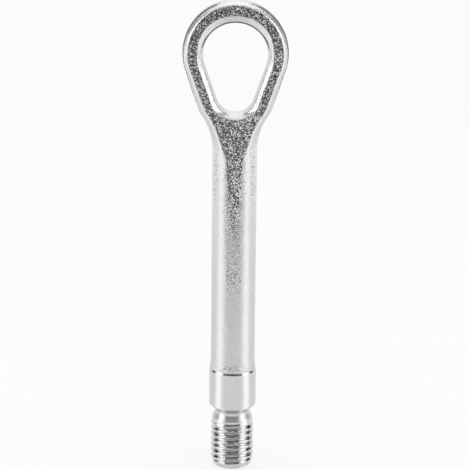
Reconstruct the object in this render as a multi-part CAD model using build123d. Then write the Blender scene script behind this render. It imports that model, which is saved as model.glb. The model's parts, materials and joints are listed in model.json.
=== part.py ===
from build123d import *
import math
import os

# Tow eye for a car, drop-forged in one piece of steel: a teardrop eye with flat faces, a round shank,
# a turned collar and a screw end. Millimetres. It stands on the end face of its screw, with the origin
# at the middle of that face. Z runs up the shank to the eye, and Y is square to the eye's flat faces.

# Screw end, plain at the thread's outer diameter, with a lead taper at its tip
THREAD_DIAMETER = 18.0
THREAD_LENGTH = 15.0
LEAD_LENGTH = 3.6
LEAD_DEPTH = 1.25

# Neck, where the thread runs out onto a short land and a taper falls from there to the collar
RUNOUT_LENGTH = 2.0
LAND_LENGTH = 0.4
LAND_DEPTH = 0.5
NECK_LENGTH = 3.6
NECK_DEPTH = 1.7

# Forged shank, measured from the collar to the foot of the hole, with a slight flare at the collar
SHANK_DIAMETER = 18.4
SHANK_LENGTH = 109.0
FLARE_LENGTH = 5.0
FLARE_RISE = 0.3

# Turned collar, which stands proud of the shank and is chamfered towards the thread
COLLAR_RISE = 0.7
COLLAR_LENGTH = 15.6
COLLAR_CHAMFER_LENGTH = 2.8
COLLAR_STEP_LENGTH = 0.4

# Teardrop hole, a wide arc at the crown and a narrow one at the foot, tightest at the parting plane
HOLE_CROWN_RADIUS = 12.9
HOLE_FOOT_RADIUS = 7.7
HOLE_ARC_CENTRES = 15.7
HOLE_DRAFT_DEG = 6.0

# Width of the bar round the hole, and the blend of the eye's outline into the shank
BAR_CROWN = 9.2
BAR_SIDE = 8.45
BAR_FOOT = 8.6
EYE_ROOT_RADIUS = 24.0

# Flat faces, pressed below the shank's surface, with a hollow run-out. Their edges are rounded by the dies,
# and a last blow coins the faces a little deeper, which leaves a crisp line all round them.
FACE_DEPTH = 2.2
FACE_BELOW_HOLE = 4.5
FACE_RUNOUT_LENGTH = 15.0
EDGE_ROUND = 3.5
ROUND_SHARE_OF_FACE = 0.92
COINING_DEPTH = 0.32
CUT_MARGIN = 2.0

# Stations up the axis, from the end face of the screw to the hole in the eye
thread_z = LEAD_LENGTH
thread_top_z = thread_z + THREAD_LENGTH
land_z = thread_top_z + RUNOUT_LENGTH
neck_z = land_z + LAND_LENGTH
seat_z = neck_z + NECK_LENGTH
collar_z = seat_z + COLLAR_CHAMFER_LENGTH
collar_top_z = collar_z + COLLAR_LENGTH
flare_end_z = collar_top_z + FLARE_LENGTH
hole_bottom_z = collar_top_z + SHANK_LENGTH
hole_foot_z = hole_bottom_z + HOLE_FOOT_RADIUS
hole_crown_z = hole_foot_z + HOLE_ARC_CENTRES

# Radii of the turned parts
thread_radius = THREAD_DIAMETER / 2
shank_radius = SHANK_DIAMETER / 2
collar_radius = shank_radius + COLLAR_RISE

# Outline of the eye: arcs round the hole's two arcs, and their common tangent as the flank
crown_radius = HOLE_CROWN_RADIUS + BAR_SIDE
crown_z = hole_crown_z + BAR_CROWN - BAR_SIDE
foot_radius = HOLE_FOOT_RADIUS + BAR_FOOT
flank_deg = math.degrees(math.asin((crown_radius - foot_radius) / (crown_z - hole_foot_z)))

# Hollow arc that leads the outline into the shank
root_offset = shank_radius + EYE_ROOT_RADIUS
root_reach = foot_radius + EYE_ROOT_RADIUS
root_z = hole_foot_z - math.sqrt(root_reach**2 - root_offset**2)
root_turn_deg = math.degrees(math.acos(root_offset / root_reach))

# Flat faces, before and after the coining blow, and the hollow arc on which they rise to the shank's surface
half_thickness = shank_radius - FACE_DEPTH
half_before_coining = half_thickness + COINING_DEPTH
face_end_z = hole_bottom_z - FACE_BELOW_HOLE
runout_radius = (FACE_RUNOUT_LENGTH**2 + FACE_DEPTH**2) / (2 * FACE_DEPTH)


def turned_blank():
    """The whole piece as a body of revolution, before its faces are pressed flat."""
    turned = Polyline(
        (0, 0),
        (thread_radius - LEAD_DEPTH, 0),
        (thread_radius, thread_z),
        (thread_radius, thread_top_z),
        (thread_radius - LAND_DEPTH, land_z),
        (thread_radius - LAND_DEPTH, neck_z),
        (thread_radius - NECK_DEPTH, seat_z),
        (collar_radius, collar_z),
        (collar_radius, collar_top_z - COLLAR_STEP_LENGTH),
        (shank_radius + FLARE_RISE, collar_top_z),
        (shank_radius, flare_end_z),
        (shank_radius, root_z),
    )
    root = CenterArc((root_offset, root_z), EYE_ROOT_RADIUS, 180, -root_turn_deg)
    foot = CenterArc((0, hole_foot_z), foot_radius, -root_turn_deg, root_turn_deg - flank_deg)
    crown = CenterArc((0, crown_z), crown_radius, -flank_deg, 90 + flank_deg)
    flank = Line(foot @ 1, crown @ 0)
    axis_line = Line(crown @ 1, turned @ 0)
    half_section = make_face(turned + root + foot + flank + crown + axis_line)
    return revolve(Plane.XZ * half_section, Axis.Z)


def face_cutter(face_y):
    """What is pressed away beyond a face at this distance from the middle: the flat and its hollow run-out."""
    out = crown_radius + CUT_MARGIN
    top_z = crown_z + crown_radius + CUT_MARGIN
    centre_y = half_thickness + runout_radius
    radius = centre_y - face_y
    sweep_deg = math.degrees(math.acos((centre_y - out) / radius))
    runout = CenterArc((centre_y, face_end_z), radius, 180, sweep_deg)
    flat = Line(runout @ 0, (face_y, top_z))
    top = Line(flat @ 1, (out, top_z))
    side = Line(top @ 1, runout @ 1)
    profile = make_face(runout + flat + top + side)
    return extrude(Plane.YZ * profile, amount=out, both=True)


def teardrop(widened):
    """Outline of the hole, with both its arcs widened by the same amount."""
    crown_r = HOLE_CROWN_RADIUS + widened
    foot_r = HOLE_FOOT_RADIUS + widened
    lean_deg = math.degrees(math.asin((crown_r - foot_r) / HOLE_ARC_CENTRES))
    crown = CenterArc((0, hole_crown_z), crown_r, -lean_deg, 180 + 2 * lean_deg)
    foot = CenterArc((0, hole_foot_z), foot_r, 180 + lean_deg, 180 - 2 * lean_deg)
    return make_face(crown + Line(crown @ 1, foot @ 0) + foot + Line(foot @ 1, crown @ 0))


def hole_cutter():
    """The hole, widening by its draft from the parting plane to both faces."""
    reach = half_before_coining + CUT_MARGIN
    draft = reach * math.tan(math.radians(HOLE_DRAFT_DEG))
    mouth = Plane.XZ.offset(reach) * teardrop(draft)
    front = loft([Plane.XZ * teardrop(0), mouth], ruled=True)
    return front + mirror(front, Plane.XZ)


def edge_round():
    """Radius of the edges, limited so that a strip of flat face stays between hole and rim."""
    rim = math.sqrt(crown_radius**2 - half_before_coining**2)
    mouth = HOLE_CROWN_RADIUS + half_before_coining * math.tan(math.radians(HOLE_DRAFT_DEG))
    rim_angle = math.pi / 2 + math.asin(half_before_coining / crown_radius)
    mouth_angle = math.pi / 2 + math.radians(HOLE_DRAFT_DEG)
    face_per_radius = 1 / math.tan(rim_angle / 2) + 1 / math.tan(mouth_angle / 2)
    return min(EDGE_ROUND, ROUND_SHARE_OF_FACE * (rim - mouth) / face_per_radius)


def borders_face(edge):
    """True for an edge round a pressed face, and not for the line where its run-out starts."""
    middle = edge.center()
    on_face = middle.Z > flare_end_z and abs(middle.Y) > half_before_coining - 0.01
    return on_face and abs(middle.Z - face_end_z) > 0.01


die = face_cutter(half_before_coining)
pressed = turned_blank() - die - mirror(die, Plane.XZ)
pierced = pressed - hole_cutter()
rounded = fillet(pierced.edges().filter_by(borders_face), edge_round())
coin = face_cutter(half_thickness)
tow_eye = rounded - coin - mirror(coin, Plane.XZ)

os.makedirs("parts", exist_ok=True)
export_step(tow_eye, "parts/tow_eye.step")
print("tow_eye", round(tow_eye.volume), "mm3, height", round(crown_z + crown_radius, 2), "mm")
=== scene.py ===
# %% [markdown]
# # A screw-in tow eye
#
# A tow eye is one steel forging. A round bar is hammered in two dies until one end is a teardrop ring
# with flat faces, and then the other end is turned on a lathe and given a thread. The whole piece is
# shot-blasted and zinc plated. This lesson dresses the solid from the frame in that skin: first the view
# and the light, then the forged form and its marks, the zinc, the turned end, and at last the seam
# between the two. Sizes of the part are in millimetres, and MM takes them to metres. The studio round it
# is in metres from the start.

# %% The frame
import json
import math

import bmesh
import bpy
import numpy as np
from mathutils import Matrix, Vector, noise


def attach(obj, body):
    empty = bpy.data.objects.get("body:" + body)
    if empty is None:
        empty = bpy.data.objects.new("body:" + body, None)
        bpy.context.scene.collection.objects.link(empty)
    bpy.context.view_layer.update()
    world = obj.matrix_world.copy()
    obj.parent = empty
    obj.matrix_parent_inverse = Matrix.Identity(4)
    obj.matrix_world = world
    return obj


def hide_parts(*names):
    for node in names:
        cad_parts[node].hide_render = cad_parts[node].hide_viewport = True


MM = 0.001
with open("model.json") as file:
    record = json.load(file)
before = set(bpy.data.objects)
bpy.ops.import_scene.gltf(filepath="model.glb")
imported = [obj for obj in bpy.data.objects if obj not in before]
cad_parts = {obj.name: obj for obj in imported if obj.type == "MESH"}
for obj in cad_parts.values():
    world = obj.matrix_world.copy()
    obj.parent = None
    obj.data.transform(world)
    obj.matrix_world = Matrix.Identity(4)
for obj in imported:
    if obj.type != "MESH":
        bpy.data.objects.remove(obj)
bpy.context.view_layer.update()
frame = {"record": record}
thread_mount = frame["record"]["mounts"][0]
THREAD_RADIUS = thread_mount["dims"]["r_mm"]
THREAD_TOP = thread_mount["pos_m"][2] / MM

# %% [markdown]
# ## The view
#
# The photograph looks a little down on the standing eye, from the front and from fairly far off, so the
# shank hardly tapers in the picture. A camera can be turned with Euler angles, but three directions are
# easier to check: the way to the picture's right, its top, and back from the eye to the lens. They are
# the columns of the camera's matrix. The focal length is found in pixels first, because that is what a
# picture can be measured in.

# %% Camera
PHOTO_PIXELS = 470
FOCAL_PIXELS = 1749.6
SENSOR_WIDTH = 36.0
VIEW_DISTANCE = 720.0
VIEW_DOWN = math.radians(15.5)
VIEW_ROLL = math.radians(0.56)
AIM_HEIGHT = 100.5
AIM_ASIDE = 0.47

level_right = Vector((1, 0, 0))
level_up = Vector((0, math.sin(VIEW_DOWN), math.cos(VIEW_DOWN)))
to_lens = Vector((0, -math.cos(VIEW_DOWN), math.sin(VIEW_DOWN)))
right = level_right * math.cos(VIEW_ROLL) + level_up * math.sin(VIEW_ROLL)
up = level_up * math.cos(VIEW_ROLL) - level_right * math.sin(VIEW_ROLL)
lens_place = Vector((0, 0, AIM_HEIGHT)) + right * AIM_ASIDE + to_lens * VIEW_DISTANCE

camera_data = bpy.data.cameras.new("photo_view")
camera_data.sensor_width = SENSOR_WIDTH
camera_data.lens = SENSOR_WIDTH * FOCAL_PIXELS / PHOTO_PIXELS
camera = bpy.data.objects.new("photo_view", camera_data)
looking = Matrix((right, up, to_lens)).transposed().to_4x4()
camera.matrix_world = Matrix.Translation(lens_place * MM) @ looking
bpy.context.scene.collection.objects.link(camera)
bpy.context.scene.camera = camera
bpy.context.scene.view_settings.view_transform = "Standard"
print("lens", round(camera_data.lens, 1), "mm at", [round(v, 3) for v in camera.location])

# %% [markdown]
# ## A helper for nodes
#
# A finish in Blender is a net of nodes, and so is a rule for a shape. Placing every node by hand hides
# the sums in a long list of links. This small class wraps a socket so that Python's own arithmetic adds
# the Math nodes, and its node method adds any other node: first the settings, then the sockets.


# %% Sums on sockets
class Wire:
    """A socket in a node tree that can stand in a Python expression."""

    def __init__(self, tree, socket=None):
        self.tree = tree
        self.socket = socket

    def node(self, kind, settings=None, sockets=None, output=0):
        """Adds a node with these settings and these socket values or links, and wraps one output."""
        made = self.tree.nodes.new(kind)
        for name, setting in (settings or {}).items():
            setattr(made, name, setting)
        for name, value in (sockets or {}).items():
            if isinstance(value, Wire):
                self.tree.links.new(value.socket, made.inputs[name])
            else:
                made.inputs[name].default_value = value
        return Wire(self.tree, made.outputs[output])

    def sum_of(self, operation, first, second=0.0):
        """Adds a Math node."""
        return self.node("ShaderNodeMath", {"operation": operation}, {0: first, 1: second})

    def __add__(self, other):
        return self.sum_of("ADD", self, other)

    def __sub__(self, other):
        return self.sum_of("SUBTRACT", self, other)

    def __rsub__(self, other):
        return self.sum_of("SUBTRACT", other, self)

    def __mul__(self, other):
        return self.sum_of("MULTIPLY", self, other)

    def __truediv__(self, other):
        return self.sum_of("DIVIDE", self, other)

    __radd__ = __add__
    __rmul__ = __mul__

    def ease(self, start, end, kind="SMOOTHSTEP"):
        """Goes from 0 to 1 as the value goes from start to end, and stays there."""
        sockets = {"Value": self, "From Min": start, "From Max": end}
        return self.node("ShaderNodeMapRange", {"interpolation_type": kind}, sockets)


print("sums on sockets ready")

# %% [markdown]
# ## Floor and light
#
# The picture is a bright one: white ground, white light from both sides, and a dark patch in the steel
# where it mirrors the room behind the camera. Mirrors show what stands around them, so cards do most of
# the work here, as in a real studio. Bright ones stand at the sides, behind and above. In front of the
# eye a white floor changes to a dark one, the wall is dim and the ceiling is dark, and two more dark cards
# stand in the corners behind the eye. The cards are seen by reflections only. The floor shows its white to
# the camera and to reflections through the Light Path node, and a part of it stays a plain matt floor, so
# that the shadow of the eye still falls on it. Two soft lamps at the sides add to the even light of the
# sky.


# %% Ground and sky
def stage_piece(name, corners, faces, finish):
    """A floor or card that is not part of the object."""
    mesh = bpy.data.meshes.new(name)
    mesh.from_pydata(corners, [], faces)
    mesh.materials.append(finish)
    made = bpy.data.objects.new(name, mesh)
    bpy.context.scene.collection.objects.link(made)
    return made


def floor_finish(colour, white_share):
    """A matt floor that shows mostly plain white where the camera or a reflection looks at it."""
    made = bpy.data.materials.new("white_floor")
    made.use_nodes = True
    tree = made.node_tree
    shader = tree.nodes["Principled BSDF"]
    shader.inputs["Base Color"].default_value = (*colour, 1)
    shader.inputs["Roughness"].default_value = 1.0
    shader.inputs["Specular IOR Level"].default_value = 0.0
    start = Wire(tree)
    rays = ("Is Camera Ray", "Is Glossy Ray", "Is Transmission Ray")
    by_camera, by_gloss, by_glass = (start.node("ShaderNodeLightPath", output=ray) for ray in rays)
    looked_at = start.sum_of("MAXIMUM", start.sum_of("MAXIMUM", by_camera, by_gloss), by_glass)
    white = start.node("ShaderNodeEmission", sockets={"Strength": 1.0})
    matt = Wire(tree, shader.outputs[0])
    both = start.node("ShaderNodeMixShader", sockets={0: looked_at * white_share, 1: matt, 2: white})
    tree.links.new(both.socket, tree.nodes["Material Output"].inputs["Surface"])
    return made


FLOOR_REACH = 12.0
FLOOR_COLOUR = (0.93, 0.93, 0.93)
FLOOR_WHITE_SHARE = 0.75
SKY_LEVEL = 0.90
SKY_SEEN = 0.975
floor_corners = [(x * FLOOR_REACH, y * FLOOR_REACH, 0) for x, y in ((-1, -1), (1, -1), (1, 1), (-1, 1))]
white_floor = floor_finish(FLOOR_COLOUR, FLOOR_WHITE_SHARE)
stage_piece("floor", floor_corners, [(0, 1, 2, 3)], white_floor)

sky = bpy.data.worlds.new("even_sky")
sky.use_nodes = True
sky.node_tree.nodes["Background"].inputs["Color"].default_value = (1, 1, 1, 1)
seen_sky = Wire(sky.node_tree).node("ShaderNodeLightPath", output="Is Camera Ray")
sky_level = SKY_LEVEL + (SKY_SEEN - SKY_LEVEL) * seen_sky
sky.node_tree.links.new(sky_level.socket, sky.node_tree.nodes["Background"].inputs["Strength"])
bpy.context.scene.world = sky
print("floor", 2 * FLOOR_REACH, "m wide, sky", SKY_LEVEL)


# %% A card bent round the eye
CARD_STEPS = 24


def card_finish():
    """A card that glows as much as its points say."""
    made = bpy.data.materials.new("studio_card")
    made.use_nodes = True
    tree = made.node_tree
    tree.nodes.remove(tree.nodes["Principled BSDF"])
    start = Wire(tree)
    level = start.node("ShaderNodeAttribute", {"attribute_name": "glow"}, output="Fac")
    glow = start.node("ShaderNodeEmission", sockets={"Strength": level})
    tree.links.new(glow.socket, tree.nodes["Material Output"].inputs["Surface"])
    return made


def ring_card(name, turns_deg, stations, glow):
    """A card swept between two bearings from the camera, through stations of (radius, height)."""
    first_deg, last_deg = turns_deg
    bearings = [first_deg + (last_deg - first_deg) * i / CARD_STEPS for i in range(CARD_STEPS + 1)]
    turns = [math.radians(b) for b in bearings]
    corners = [(r * math.sin(t), -r * math.cos(t), h) for r, h in stations for t in turns]
    faces = []
    for row in range(len(stations) - 1):
        for i in range(CARD_STEPS):
            low = row * (CARD_STEPS + 1) + i
            high = low + CARD_STEPS + 1
            faces.append((low, low + 1, high + 1, high))
    card = stage_piece(name, corners, faces, cards)
    levels = card.data.attributes.new("glow", "FLOAT", "POINT").data
    levels.foreach_set("value", [glow(b, h) for _, h in stations for b in bearings])
    card.visible_camera = False
    card.visible_diffuse = False
    card.visible_shadow = False
    card.visible_transmission = False


cards = card_finish()
print("card finish of", len(cards.node_tree.nodes), "nodes")

# %% How much the cards glow
DARK = 0.02
DIM = 0.25
NEAR_WHITE = 1.02
BRIGHT = 1.5
SIDE_WHITE = 0.97
SIDE_BAND_GAIN = 0.6
SIDE_BAND_BEARING = 68
SIDE_BAND_SPREAD = 18
BACK_WHITE = 1.0
BACK_GAIN = 0.6
BACK_GAIN_FROM = 0.5
BACK_GAIN_OVER = 0.6


def held(value):
    """The value, held between 0 and 1."""
    return min(max(value, 0.0), 1.0)


def even_glow(level):
    """The same glow all over a card."""
    return lambda bearing, height: level


def side_glow(bearing, height):
    """A soft white band in the middle of a side card, and the floor's own white at its borders."""
    off_band = (abs(bearing) - SIDE_BAND_BEARING) / SIDE_BAND_SPREAD
    return SIDE_WHITE + SIDE_BAND_GAIN * math.exp(-(off_band**2))


def back_glow(bearing, height):
    """White behind the eye, brighter towards the ceiling."""
    return BACK_WHITE + BACK_GAIN * held((height - BACK_GAIN_FROM) / BACK_GAIN_OVER)


print("side cards glow up to", round(side_glow(SIDE_BAND_BEARING, 0.0), 2))

# %% Cards at the sides, in front, behind and above
ON_FLOOR = 0.0004
OVER_FLOOR = 0.0006
SIDE_CARD = ((0.013, ON_FLOOR), (1.4, ON_FLOOR), (1.44, 1.3), (0.95, 2.05))
CORNER_CARD = ((1.41, 0.5), (1.41, 1.77))
BACK_FLOOR = ((0.5, ON_FLOOR), (1.38, ON_FLOOR))
NEAR_FLOOR = ((0.17, ON_FLOOR), (0.46, ON_FLOOR))
FRONT_FLOOR = ((0.47, OVER_FLOOR), (1.3, OVER_FLOOR))
FRONT_WALL_LOW = ((1.3, OVER_FLOOR), (1.34, 0.75))
FRONT_WALL_HIGH = ((1.34, 0.75), (1.15, 1.45))
FRONT_CEILING = ((1.15, 1.45), (0.55, 2.04))
BACK_CARD = ((1.42, 0.02), (1.42, 0.5), (1.42, 1.1), (1.0, 2.05))
TOP_CARD = ((0.001, 2.1), (0.95, 2.1))

for side, sign in (("right", 1), ("left", -1)):
    ring_card(f"side_card_{side}", (40 * sign, 108 * sign), SIDE_CARD, side_glow)
    ring_card(f"corner_card_{side}", (102 * sign, 135 * sign), CORNER_CARD, even_glow(DARK))
    ring_card(f"back_floor_{side}", (108 * sign, 150 * sign), BACK_FLOOR, even_glow(BRIGHT))
ring_card("near_floor", (-41, 41), NEAR_FLOOR, even_glow(NEAR_WHITE))
ring_card("front_floor", (-44, 44), FRONT_FLOOR, even_glow(DARK))
ring_card("front_wall_low", (-44, 44), FRONT_WALL_LOW, even_glow(DIM))
ring_card("front_wall_high", (-58, 58), FRONT_WALL_HIGH, even_glow(DIM))
ring_card("front_ceiling", (-58, 58), FRONT_CEILING, even_glow(DARK))
ring_card("back_card", (135, 225), BACK_CARD, back_glow)
ring_card("top_card", (0, 360), TOP_CARD, even_glow(BRIGHT))
print(cards.users, "cards round the eye")

# %% Lamps
LAMP_BEARING_DEG = 72
LAMP_DISTANCE = 1.3
LAMP_HEIGHT = 0.55
LAMP_SIZE = (0.7, 0.9)
LAMP_WATTS = 2.4


def soft_lamp(name, bearing_deg):
    """A soft box that faces the middle of the eye."""
    data = bpy.data.lights.new(name, "AREA")
    data.shape = "RECTANGLE"
    data.size, data.size_y = LAMP_SIZE
    data.energy = LAMP_WATTS
    lamp = bpy.data.objects.new(name, data)
    bearing = math.radians(bearing_deg)
    lamp.location = (LAMP_DISTANCE * math.sin(bearing), -LAMP_DISTANCE * math.cos(bearing), LAMP_HEIGHT)
    aim = Vector((0, 0, AIM_HEIGHT * MM)) - lamp.location
    lamp.rotation_mode = "QUATERNION"
    lamp.rotation_quaternion = aim.to_track_quat("-Z", "Y")
    bpy.context.scene.collection.objects.link(lamp)


soft_lamp("lamp_right", LAMP_BEARING_DEG)
soft_lamp("lamp_left", -LAMP_BEARING_DEG)
print("two soft lamps of", LAMP_WATTS, "W")

# %% [markdown]
# ## The forged form
#
# A forging has no hard corners: its dies are rounded so that the steel flows. A mesh that follows such a
# form can be boxed and subdivided by eye, but then its curves drift from the drawing. Here the form is
# written as distances instead: from the turned outline, from the flat faces, from the wall of the hole
# and from the slanted bevel at the hole's mouth. A ball rolled along each edge blends two of them. A last
# blow coined the faces, so the ball meets them at an angle and leaves a crisp line. Any mesh can then be
# pulled onto the form exactly. A size that changes up the part is a row of (height, size).

# %% Sizes of the forging
SHANK_RADIUS = 9.2
HOLE_FOOT = 159.7
HOLE_FOOT_RADIUS = 7.7
HOLE_CROWN = 175.4
HOLE_CROWN_RADIUS = 12.9
HOLE_DRAFT = math.radians(6.0)
EYE_FOOT_RADIUS = 16.3
EYE_CROWN = 176.15
EYE_CROWN_RADIUS = 21.35
ROOT_RADIUS = 24.0
HALF_THICKNESS = 7.0
FACE_END = 147.5
RUNOUT_RADIUS = 52.24
JOIN_HEIGHT = 50.5
TRIM_DEPTH = 0.05
TRIM_START = 1.0
TRIM_FADE = 12.0
RIM_ROUND = ((118.0, 3.4), (150.0, 5.5), (176.0, 3.4), (196.0, 2.6))
MOUTH_ROUND = ((152.0, 1.5), (158.0, 4.5))
MOUTH_SLANT_DEG = ((152.1, 70.0), (153.7, 46.0), (172.0, 45.0), (188.0, 36.0))
MOUTH_CUT = ((152.0, 1.25), (158.0, 1.1), (176.0, 1.1), (188.0, 1.65))
LIP_ROUND = 0.9
COINED_EDGE = 1 - math.cos(math.radians(24.8))

root_offset = SHANK_RADIUS + ROOT_RADIUS
root_rise = math.sqrt((EYE_FOOT_RADIUS + ROOT_RADIUS) ** 2 - root_offset**2)
ROOT_HEIGHT = HOLE_FOOT - root_rise
ROOT_TURN = math.acos(root_offset / (EYE_FOOT_RADIUS + ROOT_RADIUS))
print("the shank starts to widen at", round(ROOT_HEIGHT, 1), "mm")

# %% Distances from the outlines
TINY = 1e-12


def teardrop(across, height, foot, foot_radius, crown, crown_radius):
    """Distance from a teardrop of two arcs and their tangent, and the two parts of its slope."""
    lean = (crown_radius - foot_radius) / (crown - foot)
    upright = math.sqrt(1 - lean**2)
    side = np.where(across < 0, -1.0, 1.0)
    out = np.abs(across)
    up_flank = (height - foot) * upright + out * lean
    centre = np.where(up_flank < 0, foot, crown)
    radius = np.where(up_flank < 0, foot_radius, crown_radius)
    reach = np.hypot(out, height - centre) + TINY
    on_arc = (up_flank < 0) | (up_flank > upright * (crown - foot))
    gap = np.where(on_arc, reach - radius, out * upright - (height - foot) * lean - foot_radius)
    slope_out = np.where(on_arc, out / reach, upright)
    slope_up = np.where(on_arc, (height - centre) / reach, -lean)
    return gap, slope_out * side, slope_up


def from_eye_outline(across, height):
    """Distance and slope from the outline of the eye."""
    return teardrop(across, height, HOLE_FOOT, EYE_FOOT_RADIUS, EYE_CROWN, EYE_CROWN_RADIUS)


def from_hole_line(across, height):
    """Distance and slope from the hole's outline at the parting plane."""
    return teardrop(across, height, HOLE_FOOT, HOLE_FOOT_RADIUS, HOLE_CROWN, HOLE_CROWN_RADIUS)


def turned_outline(radius, height):
    """Distance from the outline of shank and eye as the lathe would see it, and its slope."""
    gap, slope_out, slope_up = from_eye_outline(radius, height)
    from_root_out = radius - root_offset
    from_root_up = height - ROOT_HEIGHT
    reach = np.hypot(from_root_out, from_root_up) + TINY
    on_shank = height < ROOT_HEIGHT
    on_root = ~on_shank & (np.arctan2(from_root_up, -from_root_out) < ROOT_TURN)
    gap = np.where(on_root, ROOT_RADIUS - reach, np.where(on_shank, radius - SHANK_RADIUS, gap))
    slope_out = np.where(on_root, -from_root_out / reach, np.where(on_shank, 1.0, slope_out))
    slope_up = np.where(on_root, -from_root_up / reach, np.where(on_shank, 0.0, slope_up))
    return gap, slope_out, slope_up


crown_top = EYE_CROWN + EYE_CROWN_RADIUS
crown_foot = HOLE_CROWN + HOLE_CROWN_RADIUS
print("the crown is", round(crown_top - crown_foot, 1), "mm high above the hole")


# %% The whole form as one distance
def rolled_edge(first, second, lean, radius):
    """Two walls, by their distances and the cosine between them, joined by a ball rolled along the edge."""
    least_square = 1e-6
    a = first + radius
    b = second + radius
    square = np.maximum(1 - lean**2, least_square)
    in_ball = (a > b * lean) & (b > a * lean)
    ball = np.sqrt(np.maximum((a * a + b * b - 2 * a * b * lean) / square, 0)) - radius
    return np.where(in_ball, ball, np.maximum(first, second))


def eased_size(height, knots):
    """A size that eases from one (height, size) to the next."""
    size = np.full(len(height), knots[0][1])
    for (low, first), (high, last) in zip(knots, knots[1:]):
        t = np.clip((height - low) / (high - low), 0, 1)
        size += (last - first) * t * t * (3 - 2 * t)
    return size


def forging(points):
    """Distance of each point from the forged form, below zero inside it."""
    x, y, z = points.T
    depth = np.abs(y)
    radius = np.hypot(x, y) + TINY
    bar, bar_out, bar_up = turned_outline(radius, z)
    trimmed = TRIM_DEPTH * np.clip((z - JOIN_HEIGHT - TRIM_START) / TRIM_FADE, 0, 1)
    trim = np.where(z > HOLE_FOOT, from_eye_outline(x, z)[0], np.abs(x) - radius + bar) + trimmed
    below = np.minimum(z - FACE_END, 0)
    hollow = RUNOUT_RADIUS - (depth - HALF_THICKNESS)
    swing = np.hypot(below, hollow)
    face = RUNOUT_RADIUS - swing
    face_out, face_up = hollow / swing, -below / swing
    rim_ball = eased_size(z, RIM_ROUND)
    rim_lean = bar_up * face_up + bar_out * depth / radius * face_out
    rim = rolled_edge(face - rim_ball * COINED_EDGE, bar, rim_lean, rim_ball)
    hole, _, hole_up = from_hole_line(x, z)
    wall = depth * math.sin(HOLE_DRAFT) - hole * math.cos(HOLE_DRAFT)
    wall_to_face = math.sin(HOLE_DRAFT) * face_out - math.cos(HOLE_DRAFT) * hole_up * face_up
    slant_turn = np.radians(eased_size(z, MOUTH_SLANT_DEG))
    slant_face, slant_wall = np.cos(slant_turn), np.sin(slant_turn)
    slant = slant_face * face + slant_wall * wall + eased_size(z, MOUTH_CUT)
    mouth_ball = eased_size(z, MOUTH_ROUND)
    mouth_lean = slant_face + slant_wall * wall_to_face
    mouth = rolled_edge(face - mouth_ball * COINED_EDGE, slant, mouth_lean, mouth_ball)
    lip_lean = slant_wall + slant_face * wall_to_face
    lip = rolled_edge(slant, wall, lip_lean, LIP_ROUND)
    return np.maximum.reduce([rim, mouth, lip, face, trim])


crown_points = np.array([(0.0, 0.0, crown_top), (0.0, 0.0, (crown_top + crown_foot) / 2)])
print("distances at the top and in the middle of the crown", forging(crown_points).round(2))

# %% [markdown]
# ## The net over the forging
#
# A ring on a bar branches: one tube becomes two, and they meet again. Remeshing the solid would cover it
# with squares that run every way, so a net given point by point is better. It is a tube of rings up the
# shank, a split at the foot of the hole, and a tube round the eye. The section of that tube is given in
# shares of the bar's half width and half thickness, and the saddle is the line of points across the
# crotch, where the two arms part. Subdivision makes the net fine, and then each point is pulled onto the
# form by its distance, a few steps at a time, as in Newton's method. The lowest ring is held on even
# spokes, because the turned end is sewn on there.

# %% Lines for the net
SPLIT_HEIGHT = 146.5
WIDTH_TRIES = 200
ARC_POINTS = 60


def half_width(height):
    """Half the width of the forging at a height below the hole's foot."""
    widths = np.linspace(SHANK_RADIUS, EYE_FOOT_RADIUS, WIDTH_TRIES)
    gaps = turned_outline(widths, np.full(WIDTH_TRIES, height))[0]
    return float(np.interp(0.0, gaps, widths))


def evenly(points, count):
    """Points at equal steps along a line of points."""
    points = np.array(points)
    lengths = np.concatenate(([0.0], np.cumsum(np.linalg.norm(np.diff(points, axis=0), axis=1))))
    steps = np.linspace(0, lengths[-1], count)
    return np.stack([np.interp(steps, lengths, points[:, i]) for i in range(2)], axis=1)


def arc(centre, radius, first_deg, last_deg):
    """Points on an arc in the plane of the eye."""
    turns = np.radians(np.linspace(first_deg, last_deg, ARC_POINTS))
    return [(radius * math.cos(t), centre + radius * math.sin(t)) for t in turns]


def eye_lines(count):
    """Matching points on the right half of the hole's line and of the eye's outline, foot to crown."""
    hole_lean = math.degrees(math.asin((HOLE_CROWN_RADIUS - HOLE_FOOT_RADIUS) / (HOLE_CROWN - HOLE_FOOT)))
    rim_lean = math.degrees(math.asin((EYE_CROWN_RADIUS - EYE_FOOT_RADIUS) / (EYE_CROWN - HOLE_FOOT)))
    inner = arc(HOLE_FOOT, HOLE_FOOT_RADIUS, -90, -hole_lean)
    inner += arc(HOLE_CROWN, HOLE_CROWN_RADIUS, -hole_lean, 90)
    outer = [(half_width(SPLIT_HEIGHT), SPLIT_HEIGHT)]
    outer += arc(HOLE_FOOT, EYE_FOOT_RADIUS, -math.degrees(ROOT_TURN), -rim_lean)
    outer += arc(EYE_CROWN, EYE_CROWN_RADIUS, -rim_lean, 90)
    return evenly(inner, count), evenly(outer, count)


print("at the split the bar is", round(2 * half_width(SPLIT_HEIGHT), 1), "mm wide")

# %% Rings up the shank and round the eye
SPOKES = 20
HALF = SPOKES // 2
SHANK_RINGS = 13
RUNOUT_LENGTH = 15.0
EYE_RINGS = 26
SECTION = (
    (0.0, -1.0), (0.4, -1.0), (0.72, -0.92), (0.93, -0.68), (1.0, -0.35), (1.0, 0.0),
    (1.0, 0.35), (0.93, 0.68), (0.72, 0.92), (0.4, 1.0), (0.0, 1.0),
    (-0.45, 1.0), (-0.85, 0.78), (-1.0, 0.0), (-0.85, -0.78), (-0.45, -1.0),
)
SADDLE = ((0, 6.2, 149.3), (0, 3.6, 151.2), (0, 0, 152.0), (0, -3.6, 151.2), (0, -6.2, 149.3))


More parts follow.
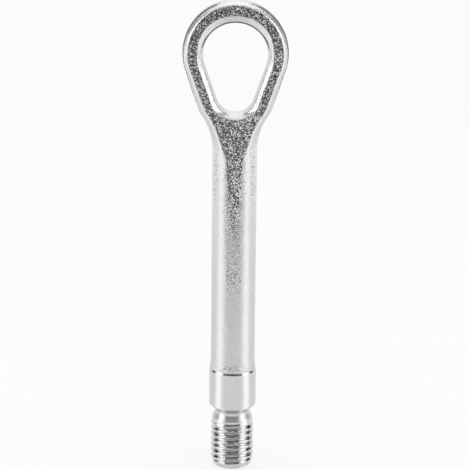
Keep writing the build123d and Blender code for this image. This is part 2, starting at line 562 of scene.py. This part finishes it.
def ring_faces(before, after):
    """The faces between two rings of the eye."""
    count = len(before)
    return [
        (before[k], before[(k + 1) % count], after[(k + 1) % count], after[k]) for k in range(count)
    ]


def forging_net():
    """The coarse net: its points, and its faces as rows of four."""
    points, faces = [], []
    spoke = [2 * math.pi * k / SPOKES for k in range(SPOKES)]
    for height in np.linspace(JOIN_HEIGHT, SPLIT_HEIGHT, SHANK_RINGS):
        wide = half_width(height)
        rise = held((height - FACE_END + RUNOUT_LENGTH) / RUNOUT_LENGTH)
        deep = SHANK_RADIUS - (SHANK_RADIUS - HALF_THICKNESS) * rise
        points += [(wide * math.sin(a), -deep * math.cos(a), height) for a in spoke]
    for row in range(SHANK_RINGS - 1):
        for k in range(SPOKES):
            after = (k + 1) % SPOKES
            low, high = row * SPOKES, (row + 1) * SPOKES
            faces.append((low + k, low + after, high + after, high + k))
    split = (SHANK_RINGS - 1) * SPOKES
    saddle = list(range(len(points), len(points) + len(SADDLE)))
    points += SADDLE
    right_side = [split + k for k in range(HALF + 1)] + saddle
    left_side = [split + (SPOKES - k) % SPOKES for k in range(HALF + 1)] + saddle
    inner, outer = eye_lines(EYE_RINGS // 2 + 1)
    inner = np.concatenate([inner[1:], inner[-2:0:-1] * (-1, 1)])
    outer = np.concatenate([outer[1:], outer[-2:0:-1] * (-1, 1)])
    before = right_side
    for near, far in zip(inner, outer):
        middle, half = (near + far) / 2, (far - near) / 2
        ring = list(range(len(points), len(points) + len(SECTION)))
        for out, deep in SECTION:
            x, z = middle + half * out
            points.append((x, deep * HALF_THICKNESS, z))
        faces += ring_faces(before, ring)
        before = ring
    faces += ring_faces(before, left_side)
    return points, faces


net_points, net_faces = forging_net()
print("net of", len(net_points), "points and", len(net_faces), "faces")

# %% Subdivided
NET_LEVELS = 3
SEAM_TOLERANCE = 0.05


def plain_mesh(points, faces, levels):
    """The net as a mesh, in millimetres, with its faces split so many times."""
    mesh = bpy.data.meshes.new("forging_net")
    mesh.from_pydata([tuple(p) for p in points], [], faces)
    carrier = bpy.data.objects.new("forging_net", mesh)
    bpy.context.scene.collection.objects.link(carrier)
    finer = carrier.modifiers.new("finer", "SUBSURF")
    finer.levels = finer.render_levels = levels
    made = bpy.data.meshes.new_from_object(carrier.evaluated_get(bpy.context.evaluated_depsgraph_get()))
    bpy.data.objects.remove(carrier)
    return made


forged = plain_mesh(net_points, net_faces, NET_LEVELS)
count = len(forged.vertices)
points = np.empty(count * 3)
forged.vertices.foreach_get("co", points)
points = points.reshape(-1, 3)
edges = np.empty(len(forged.edges) * 2, dtype=int)
forged.edges.foreach_get("vertices", edges)
edges = edges.reshape(-1, 2)
neighbours = np.bincount(edges.ravel(), minlength=count)[:, None]
seam_points = np.flatnonzero(points[:, 2] < JOIN_HEIGHT + SEAM_TOLERANCE)
seam_spokes = len(seam_points)
seam_step = 2 * math.pi / seam_spokes
seam_turn = np.round(np.arctan2(points[seam_points, 1], points[seam_points, 0]) / seam_step) * seam_step
seam_across = (SHANK_RADIUS * np.cos(seam_turn), SHANK_RADIUS * np.sin(seam_turn))
seam_ring = np.stack([*seam_across, np.full(seam_spokes, JOIN_HEIGHT)], axis=1)
print(count, "points, with", seam_spokes, "round the lower edge")

# %% Pulled onto the form
FIRST_ROUNDS = 6
RELAX_ROUNDS = 24
RELAX_SHARE = 0.5
LAST_ROUNDS = 3


def onto_form(points, rounds):
    """Moves points to the form, and gives the way out of it at each one."""
    step = 0.002
    least_steep = 0.2
    longest_move = 1.5
    for _ in range(rounds):
        slope = np.stack(
            [(forging(points + d) - forging(points - d)) / (2 * step) for d in np.eye(3) * step], axis=1
        )
        steep = np.maximum((slope**2).sum(axis=1), least_steep)
        move = np.clip(forging(points) / steep, -longest_move, longest_move)
        points = points - slope * move[:, None]
    return points, slope / np.sqrt(steep)[:, None]


points, way_out = onto_form(points, FIRST_ROUNDS)
for _ in range(RELAX_ROUNDS):
    middle = np.zeros_like(points)
    np.add.at(middle, edges[:, 0], points[edges[:, 1]])
    np.add.at(middle, edges[:, 1], points[edges[:, 0]])
    pull = middle / neighbours - points
    points += RELAX_SHARE * (pull - (pull * way_out).sum(axis=1)[:, None] * way_out)
    points[seam_points] = seam_ring
    points, way_out = onto_form(points, 1)
points, way_out = onto_form(points, LAST_ROUNDS)
points[seam_points] = seam_ring
print("furthest from the form", round(float(np.abs(forging(points)).max()), 4), "mm")

# %% [markdown]
# ## Hammer marks
#
# Die forging leaves the skin a little uneven: long shallow waves on the bar, and shorter ones on the eye
# where the scale was pressed in. They could be painted with bump alone, but waves of several millimetres
# bend the mirror images and show on the outline, so they belong in the mesh. They are pressed inwards
# only, so the part keeps its size. Each wave is given by its length and its depth.

# %% Waves in the skin
WAVES = ((14.0, 0.05), (5.0, 0.035), (2.2, 0.018))
CALM_SHARE = 0.35
ROUGHER_FROM = 85.0
ROUGHER_OVER = 45.0
WAVES_RISE_OVER = 6.0


def skin_wave(point):
    """How far the skin lies below the form at a point."""
    rough = CALM_SHARE + (1 - CALM_SHARE) * held((point[2] - ROUGHER_FROM) / ROUGHER_OVER)
    rise = held((point[2] - JOIN_HEIGHT) / WAVES_RISE_OVER)
    depth = sum(size * (0.5 + 0.5 * noise.noise(Vector(point) / length)) for length, size in WAVES)
    return depth * rough * rise


waves = np.array([skin_wave(p) for p in points])
print("waves up to", round(float(waves.max()), 3), "mm deep")

# %% [markdown]
# ## Where the grain lies
#
# The dies pressed their blasted grain into what faced them: the flat faces, the V below the hole and a
# stripe up the front and back of the shank, which narrows and fades down the bar. Beside the stripe, on
# the sides of the upper shank and in one patch half-way down, only scattered grains are left. The rounded
# edges slid along the dies and came out smooth. So the grain is worked out from the way the form faces,
# and each point of the mesh carries it to the finish as an attribute. A second attribute marks torn
# steel and one dark lip. Where the two dies met, the surplus was trimmed off to a narrow land round the
# eye, with a rough strip on each side of it, and a dark, matt strip runs along the hole's upper edge
# inside the crown. Limits come in pairs: where a mark is gone and where it is full, or for flecks and a
# patch their middle and their spread.

# %% Grain on the pressed faces
GRAIN_TILT = math.radians(13.0)
GRAIN_HALF_TURN = math.radians(22.1)
GRAIN_FADE = (100.0, 131.0)
GRAIN_NARROWING = 0.7
GRAIN_BORDER = 0.03
STRIPE_END_LEVEL = 0.75
STRIPE_END_FADE = 0.1


def rising(values, start, end):
    """Goes from 0 to 1 as the values go from start to end, and stays there."""
    return np.clip((values - start) / (end - start), 0, 1)


up_at = points[:, 2].copy()
to_front = np.abs(way_out[:, 1])
fade = rising(up_at, *GRAIN_FADE)
facing = to_front * math.cos(GRAIN_TILT) + way_out[:, 2] * math.sin(GRAIN_TILT)
border = math.cos(GRAIN_TILT) * np.cos(GRAIN_HALF_TURN * fade**GRAIN_NARROWING)
grain = np.clip((facing - border) / GRAIN_BORDER + 0.5, 0, 1)
grain *= STRIPE_END_LEVEL + (1 - STRIPE_END_LEVEL) * fade
grain *= np.clip(fade / STRIPE_END_FADE, 0, 1)
print("grain on", int((grain > 0.5).sum()), "points")

# %% Scattered grain
APRON_LEVEL = 0.42
APRON_TURN = (math.radians(37.8), math.radians(10.8))
APRON_RISE = (82.0, 127.0)
APRON_TOP = (150.0, 144.0)
FLECK_LEVEL = 0.32
FLECK_TURN = (math.radians(60), math.radians(16))
FLECK_HEIGHT = (126.0, 16.0)
PATCH_LEVEL = 0.36
PATCH_FACING = (0.91, 0.96)
PATCH_HEIGHT = (85.0, 6.5)


def hump(values, middle, spread):
    """1 in the middle, falling off on both sides."""
    return np.exp(-(((values - middle) / spread) ** 2))


turn = np.arccos(np.clip(to_front / (np.hypot(way_out[:, 0], way_out[:, 1]) + TINY), 0, 1))
apron = APRON_LEVEL * rising(turn, *APRON_TURN) * rising(up_at, *APRON_RISE) * rising(up_at, *APRON_TOP)
flecks = FLECK_LEVEL * hump(turn, *FLECK_TURN) * hump(up_at, *FLECK_HEIGHT)
patch = PATCH_LEVEL * rising(to_front, *PATCH_FACING) * hump(up_at, *PATCH_HEIGHT)
grain = np.max((grain, apron, flecks, patch), axis=0)
print("some grain on", int((grain > 0.1).sum()), "points")

# %% Torn steel and the dark lip
STRIP_OUTER_EDGE = (5.8, 3.8)
STRIP_LAND_EDGE = (0.9, 1.7)
STRIP_FROM_FOOT = (-4.0, 16.0)
STRIP_UP_TO_FACING = (0.97, 0.77)
DARK_LIP_WIDTH = (0.65, 0.5)
DARK_LIP_DEPTH = (4.2, 4.6)
DARK_LIP_FROM_CROWN = (2.0, 6.0)

depth = np.abs(points[:, 1])
strips = rising(depth, *STRIP_OUTER_EDGE) * rising(depth, *STRIP_LAND_EDGE)
strips *= np.sqrt(rising(up_at - HOLE_FOOT, *STRIP_FROM_FOOT) * rising(way_out[:, 2], *STRIP_UP_TO_FACING))
from_wall = from_hole_line(points[:, 0], up_at)[0] * math.cos(HOLE_DRAFT) - depth * math.sin(HOLE_DRAFT)
# A dark, matt strip along the upper edge of the hole, inside the crown.
dark_lip = rising(from_wall, *DARK_LIP_WIDTH) * rising(depth, *DARK_LIP_DEPTH)
dark_lip *= rising(up_at - HOLE_CROWN, *DARK_LIP_FROM_CROWN)
on_outside = points[:, 0] * way_out[:, 0] + (up_at - HOLE_CROWN) * way_out[:, 2] > 0
torn = np.where(on_outside, strips, dark_lip)
print("torn steel on", int((torn > 0.5).sum()), "points")

# %% Waves and marks onto the mesh
points -= way_out * waves[:, None]
forged.vertices.foreach_set("co", (points * MM).ravel())
for name, share in (("grain", grain), ("torn", torn)):
    forged.attributes.new(name, "FLOAT", "POINT").data.foreach_set("value", share)
forged.update()
print("forged skin with", [a.name for a in forged.attributes if a.name in ("grain", "torn")])

# %% [markdown]
# ## The zinc
#
# Bright zinc over a blasted forging is not one even colour. On the eye and the upper shank the skin is
# grainy and sparkles, further down the bar is satin, and the collar and screw were turned and shine. Bump
# alone can't give that sparkle, because it bends the light smoothly. So the skin is cut into small cells.
# A pressed cell is a facet that is tilted its own way and mirrors its own piece of the room, and some of
# them are dark pits, whose dark colour is painted shade. Elsewhere the facets are almost flat. The height
# on the part says what zone of the finish a point is in: each zone below comes in from none to full
# between two heights. Noise and a sine along the axis add the rest to the bump: the uneven forging, the
# rings of the lathe, the marks of its tool in the neck, and scuffs on the thread.

# %% Zones of the finish
COLLAR_TOP = 43.0
SEAT_HEIGHT = 24.6
FORGED = (COLLAR_TOP, COLLAR_TOP + 0.3)
RUN_OUT = (COLLAR_TOP + 4.0, COLLAR_TOP + 1.5)
SCREW = (SEAT_HEIGHT + 0.5, SEAT_HEIGHT)
NECK_TOP = (SEAT_HEIGHT - 0.6, SEAT_HEIGHT - 1.2)
NECK_FOOT = (20.8, 21.4)
THREADED = (THREAD_TOP + 2.0, THREAD_TOP)
LOWER_GRAIN = (165.0, 130.0)
UPPER_SHANK = (80.0, 130.0)


def zone(height, limits):
    """How far a height lies in a zone, from 0 to 1."""
    return height.ease(limits[0] * MM, limits[1] * MM)


print("the finish is forged above", FORGED[1], "mm and turned below")

# %% Facets and fine skin
UNEVEN = 0.3
UPPER_UNEVEN = 0.2
PRESSED_FINE = 0.25
PRESSED_BROAD = 0.2
FINE_PER_METRE = 1500.0
BROAD_PER_METRE = 320.0
RINGS_PER_METRE = 2600.0
RING_LIFT = 0.02
TOOL_FEED = 0.55
TOOL_LIFT = 0.13
SCUFFS_PER_METRE = 800.0
SCUFF_SQUEEZE = (1, 1, 4)
SCUFF_LIFT = 0.45


def facet_normal(start, cell, tilts):
    """The way each facet looks: the skin's own way, tilted by the three odds of its cell."""
    aside = start.node("ShaderNodeVectorMath", {"operation": "SUBTRACT"}, {0: cell, 1: (0.5, 0.5, 0.5)})
    tilt = start.node("ShaderNodeVectorMath", {"operation": "SCALE"}, {0: aside, "Scale": tilts})
    smooth = start.node("ShaderNodeNewGeometry", output="Normal")
    tilted = start.node("ShaderNodeVectorMath", {"operation": "ADD"}, {0: smooth, 1: tilt})
    return start.node("ShaderNodeVectorMath", {"operation": "NORMALIZE"}, {0: tilted})


def speckle(start, where, per_metre):
    """Noise of one size."""
    return start.node("ShaderNodeTexNoise", sockets={"Vector": where, "Scale": per_metre, "Detail": 2.0})


def skin_lift(start, place, height, pressed, forged_part):
    """How high the fine skin stands, as a share of the bump's distance."""
    uneven = forged_part * (UNEVEN + UPPER_UNEVEN * zone(height, UPPER_SHANK))
    lift = speckle(start, place, FINE_PER_METRE) * (uneven + PRESSED_FINE * pressed)
    lift = lift + speckle(start, place, BROAD_PER_METRE) * (uneven + PRESSED_BROAD * pressed)
    up_axis = start.node("ShaderNodeCombineXYZ", sockets={"Z": height})
    lift = lift + speckle(start, up_axis, RINGS_PER_METRE) * (RING_LIFT * (1 - forged_part))
    tool_wave = start.sum_of("SINE", height * (2 * math.pi / (TOOL_FEED * MM)))
    lift = lift + tool_wave * (TOOL_LIFT * zone(height, NECK_TOP) * zone(height, NECK_FOOT))
    squeezed = start.node("ShaderNodeVectorMath", {"operation": "MULTIPLY"}, {0: place, 1: SCUFF_SQUEEZE})
    return lift + speckle(start, squeezed, SCUFFS_PER_METRE) * (SCUFF_LIFT * zone(height, THREADED))


print("tool marks every", TOOL_FEED, "mm in the neck")

# %% Finish of the tow eye
ZINC = (0.64, 0.64, 0.635)
# The dark colour of torn steel, of the dark lip and of the random cell tone, and the painted shade of the
# pits.
ZINC_DARK_AND_PIT_SHADE = (0.045, 0.045, 0.045)
ZINC_SHADES = 0.1
CELLS_PER_METRE = 2600.0
PRESS_ODDS = 0.7
PRESS_BORDER = 0.25
FACET_TILT = 0.75
LOWER_TILT_GAIN = 0.9
RUN_OUT_TILT = 0.45
SATIN_TILT = 0.07
PIT_LIMITS = (0.64, 0.42)
PIT_LOSS_LOWER = 0.02
PIT_LOSS_THIN = 0.3
# How far the pits take on the painted shade.
PIT_SHADE_DEPTH = 0.9
TORN_ODDS = 0.45
TORN_BORDER = 0.35
TORN_DARKNESS = 0.6
TORN_METAL_LOSS = 0.85
BUMP_DISTANCE = 0.3
ROUGH_TURNED = 0.14
ROUGH_FORGED = 0.14
ROUGH_PRESSED = 0.08
ROUGH_PITS = 0.10
ROUGH_SCREW = 0.05


def zinc_finish():
    """One finish for the whole part, steered by the height and by the mesh's two attributes."""
    made = bpy.data.materials.new("zinc_plate")
    made.use_nodes = True
    tree = made.node_tree
    shader = tree.nodes["Principled BSDF"]
    shader.inputs["Specular IOR Level"].default_value = 0.0
    start = Wire(tree)
    place = start.node("ShaderNodeTexCoord", output="Object")
    height = start.node("ShaderNodeSeparateXYZ", sockets={0: place}, output="Z")
    grain = start.node("ShaderNodeAttribute", {"attribute_name": "grain"}, output="Fac")
    torn = start.node("ShaderNodeAttribute", {"attribute_name": "torn"}, output="Fac")
    cell_sockets = {"Vector": place, "Scale": CELLS_PER_METRE}
    cell = start.node("ShaderNodeTexVoronoi", sockets=cell_sockets, output="Color")
    shade = start.node("ShaderNodeSeparateXYZ", sockets={0: cell}, output="X")
    odds = start.node("ShaderNodeSeparateXYZ", sockets={0: cell}, output="Y")
    forged_part = zone(height, FORGED)
    lower = zone(height, LOWER_GRAIN)
    pressed = (grain - PRESS_ODDS * odds).ease(0.0, PRESS_BORDER)
    # Dark pit cells: their dark colour is painted shade.
    shaded_pits = pressed * (shade + PIT_LOSS_LOWER * lower + PIT_LOSS_THIN * (1 - grain)).ease(*PIT_LIMITS)
    ragged = (torn - TORN_ODDS * odds).ease(0.0, TORN_BORDER)
    torn_dark = ragged * (TORN_DARKNESS + (1 - TORN_DARKNESS) * odds)
    darker = start.sum_of("MAXIMUM", PIT_SHADE_DEPTH * shaded_pits, torn_dark)
    darker = start.sum_of("MAXIMUM", darker, ZINC_SHADES * shade)
    shades = {0: darker, 6: (*ZINC, 1), 7: (*ZINC_DARK_AND_PIT_SHADE, 1)}
    colour = start.node("ShaderNodeMix", {"data_type": "RGBA"}, shades, output=2)
    tilts = FACET_TILT * pressed * (1 + LOWER_TILT_GAIN * lower)
    tilts = tilts + RUN_OUT_TILT * (zone(height, RUN_OUT) * forged_part) + SATIN_TILT * forged_part
    facets = facet_normal(start, cell, tilts)
    lift = skin_lift(start, place, height, pressed, forged_part)
    bump_sockets = {"Height": lift, "Distance": BUMP_DISTANCE * MM, "Strength": 1.0, "Normal": facets}
    bump = start.node("ShaderNodeBump", sockets=bump_sockets)
    rough = ROUGH_TURNED + ROUGH_FORGED * forged_part - ROUGH_PRESSED * pressed + ROUGH_PITS * shaded_pits
    rough = rough - ROUGH_SCREW * zone(height, SCREW)
    tree.links.new(colour.socket, shader.inputs["Base Color"])
    tree.links.new((1 - TORN_METAL_LOSS * ragged).socket, shader.inputs["Metallic"])
    tree.links.new(rough.socket, shader.inputs["Roughness"])
    tree.links.new(bump.socket, shader.inputs["Normal"])
    return made


zinc = zinc_finish()
print("zinc finish of", len(zinc.node_tree.nodes), "nodes")

# %% [markdown]
# ## The turned end
#
# The collar, the neck and the screw are turned, so one line through the axis draws them all, and the
# thread is a groove that climbs as it goes round. Cutting it with a swept tool would leave slivers where
# it fades out, so the rule is put into Geometry Nodes: a grid is wrapped round the axis, each of its rows
# takes its radius from the drawn line, and the groove is taken off by the height and the turn together.
# A right-hand thread rises to the right on the side that faces the viewer, whichever end is up. The
# groove is a little shallower than on a drawing, because its flanks then mirror the light as they do in
# the photograph. Each corner of the line has a radius, a height and the length that eases it.

# %% The line that the lathe follows
THREAD_PITCH = 2.5
THREAD_DEPTH = 1.2
THREAD_CREST = THREAD_RADIUS - 0.04
COLLAR_RADIUS = 9.88
TURNED_LINE = (
    (SHANK_RADIUS, JOIN_HEIGHT, 0.0),
    (SHANK_RADIUS, COLLAR_TOP + 5.0, 2.0),
    (9.43, COLLAR_TOP + 1.0, 0.30),
    (9.3, COLLAR_TOP + 0.15, 0.08),
    (9.86, COLLAR_TOP - 0.6, 0.08),
    (COLLAR_RADIUS, 36.5, 2.0),
    (COLLAR_RADIUS, 27.4, 0.4),
    (7.4, SEAT_HEIGHT, 0.35),
    (7.5, SEAT_HEIGHT - 1.1, 0.3),
    (8.4, 21.5, 0.25),
    (8.5, THREAD_TOP + 2.0, 0.3),
    (THREAD_CREST, THREAD_TOP, 0.4),
    (THREAD_CREST, 3.6, 0.5),
    (7.75, 0.0, 0.6),
    (0.0, 0.0, 0.0),
)
CORNER_STEPS = 5
THREAD_ROW = THREAD_PITCH / 16
THREAD_ROWS_BELOW = THREAD_TOP + 3
THREAD_ROWS_OUTSIDE = 7
COLLAR_ROW = 0.6


def eased_line(corners):
    """The line's points, with its corners rounded."""
    line = []
    for i, (radius, height, easing) in enumerate(corners):
        here = np.array((radius, height))
        if easing == 0.0:
            line.append(here)
            continue
        to_last = np.array(corners[i - 1][:2]) - here
        to_next = np.array(corners[i + 1][:2]) - here
        first = here + to_last / np.linalg.norm(to_last) * easing
        last = here + to_next / np.linalg.norm(to_next) * easing
        for t in np.linspace(0, 1, CORNER_STEPS):
            line.append((1 - t) ** 2 * first + 2 * t * (1 - t) * here + t**2 * last)
    return line


def spaced(line):
    """The same line with rows close enough for the thread."""
    out = [line[0]]
    for first, last in zip(line, line[1:]):
        on_thread = last[1] < THREAD_ROWS_BELOW and last[0] > THREAD_ROWS_OUTSIDE
        row = THREAD_ROW if on_thread else COLLAR_ROW
        pieces = max(1, math.ceil(np.linalg.norm(last - first) / row))
        out += [first + (last - first) * (i + 1) / pieces for i in range(pieces)]
    return out


turned_rows = spaced(eased_line(TURNED_LINE))
print("turned line of", len(turned_rows), "rows")

# %% The thread's rule in Geometry Nodes
FLANK_LIMITS = (0.97, 0.06)
ROUND_LIMITS = (0.98, 0.04)
ROUND_SHARE = 0.2
WELD_GAP = 1e-6


def turned_end_tree():
    """The rule: a drawn line and the thread's sizes go in, and the turned end comes out."""
    tree = bpy.data.node_groups.new("turned_end", "GeometryNodeTree")
    tree.is_modifier = True
    panel = tree.interface
    panel.new_socket("Line", in_out="INPUT", socket_type="NodeSocketGeometry")
    panel.new_socket("Spokes", in_out="INPUT", socket_type="NodeSocketInt")
    for name in ("Pitch", "Outer Radius", "Depth", "Full Below", "Gone Above"):
        panel.new_socket(name, in_out="INPUT", socket_type="NodeSocketFloat")
    panel.new_socket("Finish", in_out="INPUT", socket_type="NodeSocketMaterial")
    panel.new_socket("Mesh", in_out="OUTPUT", socket_type="NodeSocketGeometry")
    start = Wire(tree)
    given = tree.nodes.new("NodeGroupInput")
    ask = {socket.name: Wire(tree, socket) for socket in given.outputs if socket.name}
    line_sockets = {"Geometry": ask["Line"]}
    rows = start.node("GeometryNodeAttributeDomainSize", sockets=line_sockets, output="Point Count")
    grid = start.node(
        "GeometryNodeMeshGrid",
        sockets={
            "Size X": rows - 1,
            "Size Y": ask["Spokes"],
            "Vertices X": rows,
            "Vertices Y": ask["Spokes"] + 1,
        },
    )
    position = start.node("GeometryNodeInputPosition")
    across = start.node("ShaderNodeSeparateXYZ", sockets={0: position}, output="X")
    around = start.node("ShaderNodeSeparateXYZ", sockets={0: position}, output="Y")
    row = across + (rows - 1) / 2
    turn = around / ask["Spokes"]
    drawn = start.node(
        "GeometryNodeSampleIndex",
        {"data_type": "FLOAT_VECTOR", "domain": "POINT"},
        {"Geometry": ask["Line"], "Value": position, "Index": start.sum_of("ROUND", row)},
    )
    radius = start.node("ShaderNodeSeparateXYZ", sockets={0: drawn}, output="X")
    height = start.node("ShaderNodeSeparateXYZ", sockets={0: drawn}, output="Z")
    climb = start.sum_of("FRACT", height / ask["Pitch"] - turn)
    from_root = start.sum_of("ABSOLUTE", climb * 2 - 1)
    straight = from_root.ease(*FLANK_LIMITS, "LINEAR")
    rounded = from_root.ease(*ROUND_LIMITS)
    groove = straight * (1 - ROUND_SHARE) + rounded * ROUND_SHARE
    there = height.ease(ask["Gone Above"], ask["Full Below"])
    proud = start.sum_of("MAXIMUM", radius - (ask["Outer Radius"] - ask["Depth"] * groove), 0.0)
    cut = radius - proud * there
    angle = turn * (2 * math.pi)
    wrapped = start.node(
        "ShaderNodeCombineXYZ",
        sockets={
            "X": cut * start.sum_of("COSINE", angle),
            "Y": cut * start.sum_of("SINE", angle),
            "Z": height,
        },
    )
    placed = start.node("GeometryNodeSetPosition", sockets={"Geometry": grid, "Position": wrapped})
    closed = start.node("GeometryNodeMergeByDistance", sockets={"Geometry": placed, "Distance": WELD_GAP})
    real = start.node("GeometryNodeRealizeInstances", sockets={"Geometry": closed})
    done = start.node("GeometryNodeSetMaterial", sockets={"Geometry": real, "Material": ask["Finish"]})
    out = tree.nodes.new("NodeGroupOutput")
    tree.links.new(done.socket, out.inputs["Mesh"])
    return tree


end_tree = turned_end_tree()
print("rule of", len(end_tree.nodes), "nodes")

# %% The turned end as a mesh
THREAD_FULL = THREAD_TOP - 0.6
THREAD_GONE = THREAD_TOP + 2.5


def baked(line_points, tree, sizes):
    """Runs the rule on a drawn line and gives back a plain mesh."""
    mesh = bpy.data.meshes.new("turned_line")
    mesh.from_pydata([(r * MM, 0, z * MM) for r, z in line_points], [], [])
    carrier = bpy.data.objects.new("turned_line", mesh)
    bpy.context.scene.collection.objects.link(carrier)
    rule = carrier.modifiers.new("turned_end", "NODES")
    rule.node_group = tree
    for item in tree.interface.items_tree:
        if item.in_out == "INPUT" and item.name in sizes:
            rule[item.identifier] = sizes[item.name]
    made = bpy.data.meshes.new_from_object(carrier.evaluated_get(bpy.context.evaluated_depsgraph_get()))
    bpy.data.objects.remove(carrier)
    return made


end_sizes = {
    "Spokes": seam_spokes,
    "Pitch": THREAD_PITCH * MM,
    "Outer Radius": THREAD_RADIUS * MM,
    "Depth": THREAD_DEPTH * MM,
    "Full Below": THREAD_FULL * MM,
    "Gone Above": THREAD_GONE * MM,
    "Finish": zinc,
}
turned = baked(turned_rows, end_tree, end_sizes)
print("turned end of", len(turned.polygons), "faces")

# %% [markdown]
# ## One piece
#
# The forged bar and the turned end meet on one ring of points on the plain shank, and both have the same
# number of spokes there, so they can be sewn together point by point. The result is one closed skin, as
# the real piece is one lump of steel.

# %% Sewn together
SEAM_GAP = 2e-6

body = bmesh.new()
body.from_mesh(forged)
body.from_mesh(turned)
bmesh.ops.remove_doubles(body, verts=body.verts, dist=SEAM_GAP)
bmesh.ops.recalc_face_normals(body, faces=body.faces)
open_edges = sum(1 for e in body.edges if len(e.link_faces) != 2)
skin = bpy.data.meshes.new("tow_eye_skin")
body.to_mesh(skin)
body.free()
skin.materials.clear()
skin.materials.append(zinc)
skin.polygons.foreach_set("material_index", [0] * len(skin.polygons))
skin.shade_smooth()
tow_eye = bpy.data.objects.new("tow_eye_skin", skin)
bpy.context.scene.collection.objects.link(tow_eye)
skin.calc_loop_triangles()
print("one skin of", len(skin.loop_triangles), "triangles, open edges", open_edges)

# %% Onto the frame
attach(tow_eye, "root")
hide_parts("tow_eye")
